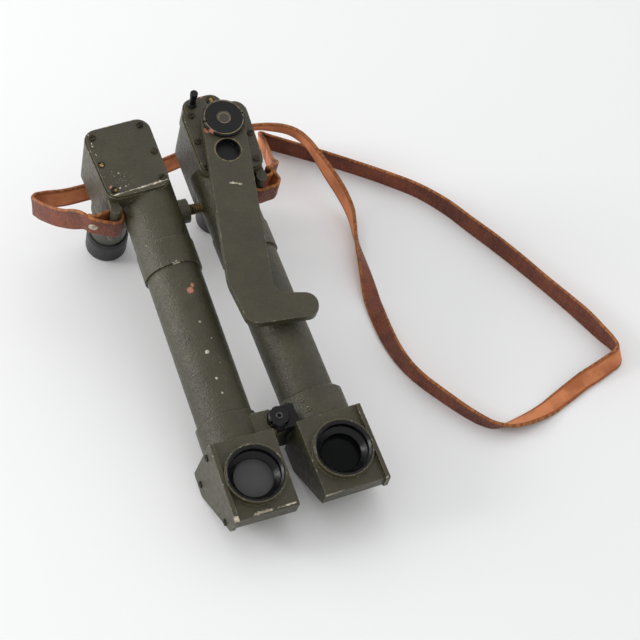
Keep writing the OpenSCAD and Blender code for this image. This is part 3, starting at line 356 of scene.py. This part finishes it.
class Nodes:
    """The empty node tree of a material or a world, and the one method that adds a node."""

    def __init__(self, owner):
        owner.use_nodes = True
        self.tree = owner.node_tree
        self.tree.nodes.clear()

    def node(self, kind, settings=None, inputs=None, out=0):
        """Adds the node of that kind, with its settings first and then values or links."""
        made = self.tree.nodes.new("ShaderNode" + kind)
        for key, value in (settings or {}).items():
            setattr(made, key, value)
        for key, value in (inputs or {}).items():
            target = made.inputs[key]
            if isinstance(value, Value):
                self.tree.links.new(value.socket, target)
            else:
                target.default_value = value
        return Value(self, made.outputs[out]) if len(made.outputs) else None


class Finish(Nodes):
    """One material, with the few patterns that all finishes share."""

    def __init__(self, name):
        self.material = bpy.data.materials.new(name)
        super().__init__(self.material)
        self.place = self.node("TexCoord", out="Object")

    def noise(self, scale, detail=3, rough=0.55, distortion=0.0, place=None):
        """Cloudy pattern, scale in patches per metre."""
        return self.node("TexNoise", None, {"Vector": place or self.place, "Scale": scale, "Detail": detail,
                                            "Roughness": rough, "Distortion": distortion})

    def mix(self, share, first, second):
        """Colour between two: first where share is 0, second where it is 1."""
        return self.node("Mix", {"data_type": "RGBA"}, {0: share, 6: first, 7: second}, out=2)

    def vector(self, operation, first, second=None, out="Value"):
        """Vector Math node, read as a number unless out says otherwise."""
        inputs = {0: first} if second is None else {0: first, 1: second}
        return self.node("VectorMath", {"operation": operation}, inputs, out=out)

    def edge(self, radius):
        """How much a surface turns within the radius: 0 on flats, up to 1 on sharp edges."""
        rounded = self.node("Bevel", {"samples": 6}, {"Radius": radius})
        own = self.node("NewGeometry", out="Normal")
        return (1 - self.vector("DOT_PRODUCT", rounded, own)).ramp(0.02, 0.2)

    def soft_edges(self, radius):
        """Normal of the surface with its edges rounded off, for a Bump node to start from."""
        return self.node("Bevel", {"samples": 4}, {"Radius": radius})

    def spot(self, centre, radius, ragged=1.2):
        """A ragged patch round one point of the object, in metres: 1 inside, 0 outside."""
        wobble = (self.noise(900, 4, 0.7) - 0.5) * (2 * radius * ragged)
        return (self.vector("DISTANCE", self.place, centre) + wobble).ramp(radius, radius * 0.8)

    def with_spots(self, mask, places, ragged=1.2):
        """The mask joined with a ragged patch at each (x, y, z, radius)."""
        for x, y, z, radius in places:
            mask = mask.larger(self.spot((x, y, z), radius, ragged))
        return mask

    def along_and_off(self, point, direction):
        """How far a place lies along a line, and the square of its distance from that line."""
        rel = self.vector("SUBTRACT", self.place, point, out="Vector")
        along = self.vector("DOT_PRODUCT", rel, direction)
        return along, (self.vector("LENGTH", rel) ** 2.0 - along ** 2.0).larger(0.0)

    def off_axis(self, centre, axis):
        """Distance of each point from the line through a centre along an axis, in metres."""
        return self.along_and_off(centre, unit(np.array(axis, float)).tolist())[1] ** 0.5

    def streak(self, start, end, radius, ragged=1.6):
        """A ragged band round the straight line between two points: 1 inside, 0 outside."""
        start, end = np.array(start, float), np.array(end, float)
        length = float(np.linalg.norm(end - start))
        along, off_squared = self.along_and_off(start.tolist(), ((end - start) / length).tolist())
        past_ends = along - along.larger(0.0).smaller(length)
        wobble = (self.noise(700, 4, 0.7) - 0.5) * (2 * radius * ragged)
        return ((off_squared + past_ends ** 2.0) ** 0.5 + wobble).ramp(radius, radius * 0.6)

    def bump(self, height, depth, normal=None):
        """Normal of a surface that stands depth metres proud where height is 1."""
        inputs = {"Height": height, "Distance": depth, "Strength": 1.0}
        if normal is not None:
            inputs["Normal"] = normal
        return self.node("Bump", None, inputs, out="Normal")

    def surface(self, colour, rough, metal=0.0, normal=None, coat=None, **fixed):
        """Closes the material with one Principled shader."""
        inputs = {"Base Color": colour, "Roughness": rough, "Metallic": metal, **fixed}
        if normal is not None:
            inputs["Normal"] = normal
        if coat is not None:
            inputs["Coat Weight"] = coat
        shader = self.node("BsdfPrincipled", None, inputs, out="BSDF")
        self.node("OutputMaterial", None, {"Surface": shader})
        return self.material


def shade(red, green, blue):
    """Colour of the screen scale, 0 to 255, as the linear light that a shader wants."""
    c = np.array([red, green, blue]) / 255
    linear = np.where(c <= 0.04045, c / 12.92, ((c + 0.055) / 1.055) ** 2.4)
    return (*linear.tolist(), 1.0)


# %% [markdown]
# ## Paint of the metalwork
#
# The arms are sprayed with a dark olive paint that dried with a coarse wrinkle. Hands have
# polished the high spots and broken the paint off the edges, down to pale bare metal and, in
# places, a pink primer. The wrinkle is a noise fed to a Bump node, deep enough that every lamp
# breaks up into small glints. The wear follows the edges, which the Bevel node finds, broken up
# by a coarser noise so that it comes and goes, and single chips and scraped bands lie where the
# photograph shows them, as places on the object in metres. Every edge is also a paler olive,
# partly worn paint and partly a painted highlight along the rims.

# %% Olive paint
PRIMER_PINK = shade(178, 116, 98)


def olive_paint(name, chips=(), primer=(), bands=(), specks=(), wear=0.5, tint=(61, 57, 38), wrinkle=1.0,
                gloss=0.30):
    """Dark olive wrinkle paint. Chips, primer and specks list (x, y, z, radius) in metres, and a
    place of specks has many tiny chips inside. Bands list (start, end, radius)."""
    f = Finish(name)
    patches = f.noise(38, 4, 0.6)
    grime = f.noise(160, 5, 0.65)
    fine = f.noise(1100, 3, 0.55, 0.6)
    edges = f.edge(0.0010)
    broken = (f.noise(260, 5, 0.7) * 0.6 + f.noise(900, 3, 0.6) * 0.4).ramp(0.52, 0.60)
    metal_mask = (edges * broken * (2 * wear)).smaller(1.0)
    base = f.mix(patches.ramp(0.35, 0.65), shade(*tint), shade(*(c * 0.84 for c in tint)))
    base = f.mix(grime.ramp(0.55, 0.75) * 0.5, base, shade(*(c * 0.68 for c in tint)))
    base = f.mix(fine.ramp(0.58, 0.70) * 0.4, base, shade(*(c * 1.55 for c in tint)))
    # Every edge is lightened to a paler olive: partly worn paint, partly a painted highlight along the rims.
    base = f.mix(edges * 0.6, base, shade(*(c * 1.8 for c in tint)))
    metal_mask = f.with_spots(metal_mask, chips)
    for start, end, radius in bands:
        metal_mask = metal_mask.larger(f.streak(start, end, radius))
    for x, y, z, radius in specks:
        small = f.noise(1500, 2, 0.5).ramp(0.64, 0.69)
        metal_mask = metal_mask.larger(f.spot((x, y, z), radius) * small)
    pink_mask = f.with_spots(metal_mask * 0.0, primer)
    bare = f.mix(grime.ramp(0.4, 0.6), shade(200, 192, 172), shade(148, 138, 120))
    colour = f.mix(metal_mask, base, bare)
    colour = f.mix(pink_mask, colour, PRIMER_PINK)
    gone = metal_mask.larger(pink_mask)
    rough = f.noise(300, 4).ramp(0.3, 0.7, gloss, gloss + 0.16)
    height = (fine * 0.8 + f.noise(520, 3) * 0.6) * (1 - gone * 0.8) - gone * 0.5
    normal = f.bump(height, 0.00055 * wrinkle, f.soft_edges(0.0004))
    return f.surface(colour, rough, gone * 0.2, normal, **{"Specular IOR Level": 0.42})


# %% [markdown]
# ## Black enamel, bare metal, rubber and glass
#
# The lens rings, the knob, the disc of the pivot and the cup in the grip are smooth black enamel
# that has gone grey at the edges, and some carry a thin rubbed line. Screws, studs and bolts are
# bare metal gone dull, and the eyecups are hard rubber with a grey bloom and a painted highlight
# on their edges. The lenses could be clear glass over a black inside, but all that shows of that
# is a disc under a faint veil, so they are a surface with hardly any mirror image, which needs no
# slow refraction: the right one is dark, and the left one is painted a mid grey that stands for
# its reflection. Each finish is a function with its tones as parameters, because several pieces
# share it.

# %% Enamel, metal, rubber and glass
def black_enamel(name, wear=0.3, primer=(), rough=0.3, ring=None, tone=(13, 13, 14)):
    """Smooth enamel, thin at the edges; ring is (centre, axis, radius) of a brass line."""
    f = Finish(name)
    edges = f.edge(0.0006)
    broken = f.noise(420, 5, 0.7).ramp(0.5, 0.62)
    worn = (edges * broken * (2 * wear)).smaller(1.0)
    pink = f.with_spots(worn * 0.0, primer)
    dust = f.noise(240, 5, 0.6)
    base = f.mix(dust.ramp(0.45, 0.75) * 0.4, shade(*tone), shade(*(c + 16 for c in tone)))
    if ring:
        centre, axis, radius = ring
        gap = abs(f.off_axis(centre, axis) - radius)
        line = gap.ramp(0.00034, 0.00014) * f.noise(300, 4, 0.7).ramp(0.38, 0.5, 0.25, 1.0)
        base = f.mix(line, base, shade(134, 120, 88))
    colour = f.mix(worn, base, shade(150, 146, 134))
    colour = f.mix(pink, colour, shade(168, 112, 98))
    normal = f.bump(dust + worn * -0.5, 0.00006, f.soft_edges(0.0003))
    return f.surface(colour, dust.ramp(0.3, 0.7, rough, rough + 0.18), worn * 0.4, normal,
                     **{"Specular IOR Level": 0.22})


def old_metal(name, bright, dark, rough=0.35, rubbed=()):
    """Bare metal gone dull: bright where rubbed and dark in the pits; rubbed lists (x, y, z, radius) of the
    places where its own brassy colour is clean."""
    f = Finish(name)
    spots = f.noise(600, 5, 0.65)
    cloud = f.noise(120, 3)
    colour = f.mix((spots * 0.6 + cloud * 0.4).ramp(0.42, 0.6), shade(*dark), shade(*bright))
    clean = f.with_spots(cloud * 0.0, rubbed, 0.3)
    colour = f.mix(clean, colour, shade(166, 132, 84))
    normal = f.bump(spots, 0.00008, f.soft_edges(0.0002))
    return f.surface(colour, spots.ramp(0.3, 0.7, rough, rough + 0.2), 0.8, normal)


def rubber(name):
    """Hard black rubber, slightly grey where it has dried, with a painted highlight that greys its edges."""
    f = Finish(name)
    bloom = f.noise(180, 5, 0.6)
    colour = f.mix(bloom.ramp(0.45, 0.75), shade(22, 22, 23), shade(44, 44, 45))
    # The edges are greyed: a painted highlight along the rims of the cups.
    colour = f.mix(f.edge(0.0008) * 0.3, colour, shade(88, 88, 88))
    normal = f.bump(f.noise(1200, 3), 0.00008, f.soft_edges(0.0005))
    return f.surface(colour, bloom.ramp(0.3, 0.7, 0.38, 0.55), 0.0, normal)


def lens_glass(name, tone, veil):
    """Coated glass over a dark inside: hardly any mirror image, and a faint even veil; the tone is the colour
    that it shows, on the left lens a painted reflection.
    """
    f = Finish(name)
    dust = f.noise(45, 2, 0.4)
    colour = f.mix(dust.ramp(0.3, 0.7), shade(*tone), shade(*veil))
    return f.surface(colour, dust.ramp(0.3, 0.8, 0.16, 0.24), 0.0, **{"Specular IOR Level": 0.06})


def prism_glass(name):
    """The prisms sit in closed chambers, so a plain grey glassy surface does."""
    f = Finish(name)
    smoke = f.noise(60, 3)
    colour = f.mix(smoke.ramp(0.4, 0.6), shade(150, 158, 160), shade(120, 130, 134))
    return f.surface(colour, smoke.ramp(0.3, 0.7, 0.05, 0.12), 0.0, None, 0.5)


# %% [markdown]
# ## Where the paint is missing
#
# A chip could be a dent in a mesh, but the solids keep their shape, and at this size only the
# colour and the rim of a chip show. So each one of the photograph is a place on the object, and
# the paint of its piece draws it there, with the bump of its rim. Chips, primer and specks are
# (x, y, z, radius) in metres, and bands are (start, end, radius).

# %% Places without paint, and all the finishes
def ring_line(name, inset):
    """Centre, axis and radius of a line round a turned solid, the inset inside its rim."""
    low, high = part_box(name)
    return np.mean((low, high), axis=0).tolist(), arm_up, (high[0] - low[0]) / 2 - inset


COVER_EDGES = [
    ((-0.0452, 0.0706, 0.0892), (-0.0118, 0.0733, 0.0901), 0.0005),
    ((-0.0300, 0.0718, 0.0896), (-0.0140, 0.0731, 0.0900), 0.0008),
    ((-0.0478, 0.1150, 0.1036), (-0.0466, 0.0712, 0.0890), 0.0004),
]
COVER_CHIPS = [
    (-0.0383, 0.0836, 0.0935, 0.0007), (-0.0367, 0.0747, 0.0906, 0.0006), (-0.0404, 0.0743, 0.0905, 0.0006),
]
TUBE_SCRAPE = [((-0.0250, 0.0232, 0.0722), (-0.0205, 0.0240, 0.0718), 0.0014)]
TUBE_PRIMER = [(-0.0217, 0.0052, 0.0661, 0.0024), (-0.0196, 0.0082, 0.0668, 0.0016)]
TUBE_CHIPS = [
    (-0.0253, -0.0323, 0.0539, 0.0013), (-0.0230, -0.0142, 0.0598, 0.0008),
    (-0.0199, -0.0243, 0.0552, 0.0009), (-0.0207, -0.0393, 0.0503, 0.0009),
    (-0.0255, -0.0481, 0.0487, 0.0008), (-0.0251, -0.0569, 0.0458, 0.0007),
]
LEFT_HEAD_BANDS = [
    ((-0.0430, -0.1300, 0.0302), (-0.0100, -0.1291, 0.0285), 0.0007),
    ((-0.0330, -0.1292, 0.0286), (-0.0240, -0.1291, 0.0286), 0.0011),
]
RIGHT_HEAD_BANDS = [((0.0081, -0.1302, 0.0275), (0.0437, -0.1313, 0.0299), 0.0007)]
GRIP_SCRAPE = [((0.0209, 0.0563, 0.0925), (0.0271, 0.0540, 0.0917), 0.0008)]
RUBBED_SCREWS = [
    (-0.0462, 0.0902, 0.0966, 0.0013), (-0.0435, 0.0732, 0.0905, 0.0009), (0.0323, 0.1176, 0.1048, 0.0021),
]
paints = {
    "olive": olive_paint("olive_paint"),
    "left_tube": olive_paint("olive_left_tube", bands=TUBE_SCRAPE, chips=TUBE_CHIPS, primer=TUBE_PRIMER),
    "left_cover": olive_paint("olive_left_cover", wear=0.9, chips=COVER_CHIPS, bands=COVER_EDGES,
                              primer=[(-0.0455, 0.0760, 0.0911, 0.0011)],
                              specks=[(-0.0385, 0.0785, 0.0918, 0.0075)]),
    "left_head": olive_paint("olive_left_head", wear=0.9, bands=LEFT_HEAD_BANDS,
                             chips=[(-0.0437, -0.1302, 0.0307, 0.0022)]),
    "right_head": olive_paint("olive_right_head", wear=0.9, bands=RIGHT_HEAD_BANDS),
    "right_cover": olive_paint("olive_right_cover", wear=0.8, primer=[(0.0261, 0.1207, 0.1058, 0.0011)]),
    "hand_grip": olive_paint("olive_grip", wear=0.7, bands=GRIP_SCRAPE,
                             primer=[(0.0195, 0.0920, 0.1044, 0.0022)]),
    "grey_green": olive_paint("grey_green_paint", wear=0.2, tint=(74, 76, 66), wrinkle=0.3),
    "black": black_enamel("black_enamel"),
    "black_ring": black_enamel("black_lens_ring", wear=0.15, rough=0.18),
    "cup": black_enamel("black_grip_cup", wear=0.2, ring=ring_line("grip_cup", 0.0002)),
    "disc": black_enamel("black_disc_enamel", wear=0.35, ring=ring_line("pivot_disc", 0.0011),
                         primer=[(0.0208, 0.0889, 0.1050, 0.0018)]),
    "pin": black_enamel("olive_grey_pin", wear=0.2, rough=0.36, ring=ring_line("pivot_pin", 0.0008),
                        tone=(66, 64, 54)),
    "steel": old_metal("dulled_steel", (150, 146, 138), (82, 76, 66)),
    "brass": old_metal("tarnished_brass", (108, 90, 56), (56, 46, 30)),
    "bolt": old_metal("blackened_bolt", (84, 82, 80), (28, 28, 28)),
    "screw": old_metal("old_screws", (66, 60, 46), (28, 26, 21), 0.4, RUBBED_SCREWS),
    "rivet": old_metal("rivet_metal", (206, 196, 180), (138, 126, 110)),
    "rubber": rubber("black_rubber"),
    # The left lens is painted a mid grey that stands for its reflection; the right lens is dark.
    "left_glass_painted_reflection": lens_glass("left_lens_painted_reflection", (80, 80, 81), (85, 85, 86)),
    "right_glass": lens_glass("right_lens_glass", (12, 15, 13), (17, 20, 18)),
    "prism": prism_glass("prism_glass"),
}
print(len(paints), "finishes")

# %% [markdown]
# ## Leather of the strap
#
# One side of a leather strap is the dyed grain: dark red-brown and waxed, with a coarse pebble
# whose tops shine, and their colour is lighter as a painted sheen. The other is the raw flesh
# side: orange-tan, matt and fibrous, and darker along its borders. The cut edges are burnished
# tan. The UV map says how far round the section a point lies, so one material serves all three,
# with soft borders.

# %% Leather
# In metres: how softly the sides meet, and the width and softness of the flesh side's borders.
SIDE_SOFT, BORDER, BORDER_SOFT = 0.0002, 0.0011, 0.0007


def leather(name):
    """Grain, flesh and cut edges of one strap, chosen by the distance around its section."""
    f = Finish(name)
    place = f.node("UVMap", {"uv_map": "strap_uv"})
    along, round_at = (f.node("SeparateXYZ", None, {0: place}, out=axis) for axis in "XY")

    def between(low, high, soft):
        return round_at.ramp(low - soft, low + soft) * round_at.ramp(high + soft, high - soft)

    flesh_side = between(flesh_from, flesh_to, SIDE_SOFT)
    grain_side = between(grain_from, grain_to, SIDE_SOFT)
    flesh_middle = between(flesh_from + BORDER, flesh_to - BORDER, BORDER_SOFT)
    cloud = f.noise(45, 4, 0.6)
    pebble = f.node("TexVoronoi", {"feature": "F1"},
                    {"Vector": f.place, "Scale": 780.0, "Randomness": 1.0}, out="Distance")
    tops = pebble.ramp(0.55, 0.1)
    stretched = f.node("CombineXYZ", None, {0: along, 1: round_at * 0.15})
    crease = f.noise(420, 4, 0.6, 0.5, place=stretched)
    fibre = f.noise(1200, 4, 0.7, 1.5)
    grain = f.mix(cloud.ramp(0.35, 0.65), shade(116, 58, 36), shade(84, 40, 26))
    grain = f.mix(crease.ramp(0.48, 0.66) * 0.45, grain, shade(58, 28, 19))
    # The pebble tops are painted a lighter brown: a painted sheen, beside their lower roughness.
    grain = f.mix(tops * 0.35, grain, shade(150, 88, 62))
    flesh = f.mix(cloud.ramp(0.35, 0.65), shade(206, 130, 84), shade(164, 92, 54))
    flesh = f.mix(fibre.ramp(0.45, 0.65) * 0.35, flesh, shade(200, 134, 94))
    flesh = f.mix(flesh_middle, shade(146, 78, 44), flesh)
    cut = f.mix(crease.ramp(0.4, 0.6), shade(164, 104, 56), shade(116, 68, 38))
    colour = f.mix(grain_side, cut, grain)
    colour = f.mix(flesh_side, colour, flesh)
    rough = 0.66 - grain_side * (0.18 + tops * 0.18) + crease * 0.08
    height = grain_side * (tops * 0.8 + crease * 0.6) + flesh_side * fibre * 0.5
    return f.surface(colour, rough, 0.0, f.bump(height, 0.00032), **{"Specular IOR Level": 0.28})


strap.data.materials.append(leather("strap_leather"))
rivets.data.materials.append(paints["rivet"])
print("leather of", len(strap.data.materials[0].node_tree.nodes), "nodes")

# %% [markdown]
# ## Every solid gets its finish
#
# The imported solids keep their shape, and each takes the finish of the real piece. The heads,
# the left tube, the covers and the grip have paints of their own, because each has its own
# chips and scrapes in the photograph.

# %% Finishes of the solids
# The first key that is part of a solid's name gives its finish, and all other solids are olive.
FINISH_OF = {
    "head_prism": "prism", "eye_prism": "prism", "left_cover_plate": "left_cover",
    "right_cover_plate": "right_cover", "hand_grip": "hand_grip", "left_tube": "left_tube",
    "left_sleeve": "left_tube", "left_head": "left_head", "right_head": "right_head",
    "left_side_plate": "left_head", "right_side_plate": "right_head", "cover_screws": "screw",
    "side_screws": "screw", "objective_ring": "black_ring", "eyepiece_barrel": "grey_green",
    "eye_lens": "right_glass", "eyecup": "rubber", "right_hinge_lug": "black", "lug_screws": "olive",
    "hinge_bolt": "bolt", "hinge_knob": "black", "guide_stud": "brass", "grip_cup": "cup",
    "grip_washer": "steel", "pivot_pin": "pin", "pivot_disc": "disc", "grip_stop": "black",
    "strap_rivets": "rivet", "left_objective_lens": "left_glass_painted_reflection", "right_objective_lens": "right_glass",
}
for name, solid in nodes.items():
    key = next((k for k in FINISH_OF if k in name), None)
    solid.data.materials.clear()
    solid.data.materials.append(paints[FINISH_OF[key] if key else "olive"])
print("finished", len(nodes), "solids")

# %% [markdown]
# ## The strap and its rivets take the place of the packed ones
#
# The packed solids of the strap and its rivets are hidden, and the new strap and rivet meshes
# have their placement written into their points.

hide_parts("strap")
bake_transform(strap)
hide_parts("strap_rivets")
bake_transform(rivets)
print("strap leaves the left lug at", np.round(middle[0], 4))

# %% [markdown]
# ## Table and light
#
# The photograph was taken on a pale sweep in a bright studio. The world is white to the camera
# and to reflections, and a little dimmer as a lamp. Three soft lamps shape the metal: one from
# the left, whose light breaks up on the wrinkle, a low one that grazes the left walls, and a
# weak one from above and behind.

# %% Table
TABLE_REACH = 6.0
corners = TABLE_REACH * np.array([(-1, -1, 0), (1, -1, 0), (1, 1, 0), (-1, 1, 0)])
table = new_mesh("table", corners, np.array([[0, 1, 2, 3]]))
sweep = Finish("pale_table")
pale = sweep.mix(sweep.noise(3, 2), shade(238, 239, 240), shade(242, 242, 242))
table.data.materials.append(sweep.surface(pale, 0.7, 0.0))
print("table", 2 * TABLE_REACH, "m square")

# %% World and lamps
LIT_LEVEL, SEEN_LEVEL = 0.84, 1.0
LAMPS_AIM = (0.0, 0.0, 0.05)

world = bpy.data.worlds.new("studio")
bpy.context.scene.world = world
studio = Nodes(world)
camera_ray, glossy_ray, transmission_ray = (
    studio.node("LightPath", out=f"Is {kind} Ray") for kind in ("Camera", "Glossy", "Transmission"))
seen = camera_ray.larger(glossy_ray).larger(transmission_ray)
level = studio.node("MapRange", None, {"Value": seen, "To Min": LIT_LEVEL, "To Max": SEEN_LEVEL})
white = studio.node("Background", None, {"Color": (1, 1, 1, 1), "Strength": level})
studio.node("OutputWorld", None, {"Surface": white})


def lamp(name, place, size, watts):
    """A square soft lamp at a place, facing the instrument."""
    data = bpy.data.lights.new(name, "AREA")
    data.size, data.energy = size, watts
    thing = bpy.data.objects.new(name, data)
    bpy.context.scene.collection.objects.link(thing)
    z = unit(np.array(place) - np.array(LAMPS_AIM))
    x = unit(np.cross((0.0, 0.0, 1.0), z))
    m = np.eye(4)
    m[:3, 0], m[:3, 1], m[:3, 2], m[:3, 3] = x, np.cross(z, x), z, place
    thing.matrix_world = Matrix(m.tolist())


lamp("key_left", (-1.5, 0.5, 0.78), 0.5, 8.5)
lamp("low_left", (-1.1, 0.8, 0.32), 0.8, 7.0)
lamp("top_back", (0.5, 0.9, 1.6), 1.2, 1.6)
print("lamps and world in place")

# %% Update the scene and close
bpy.context.view_layer.update()
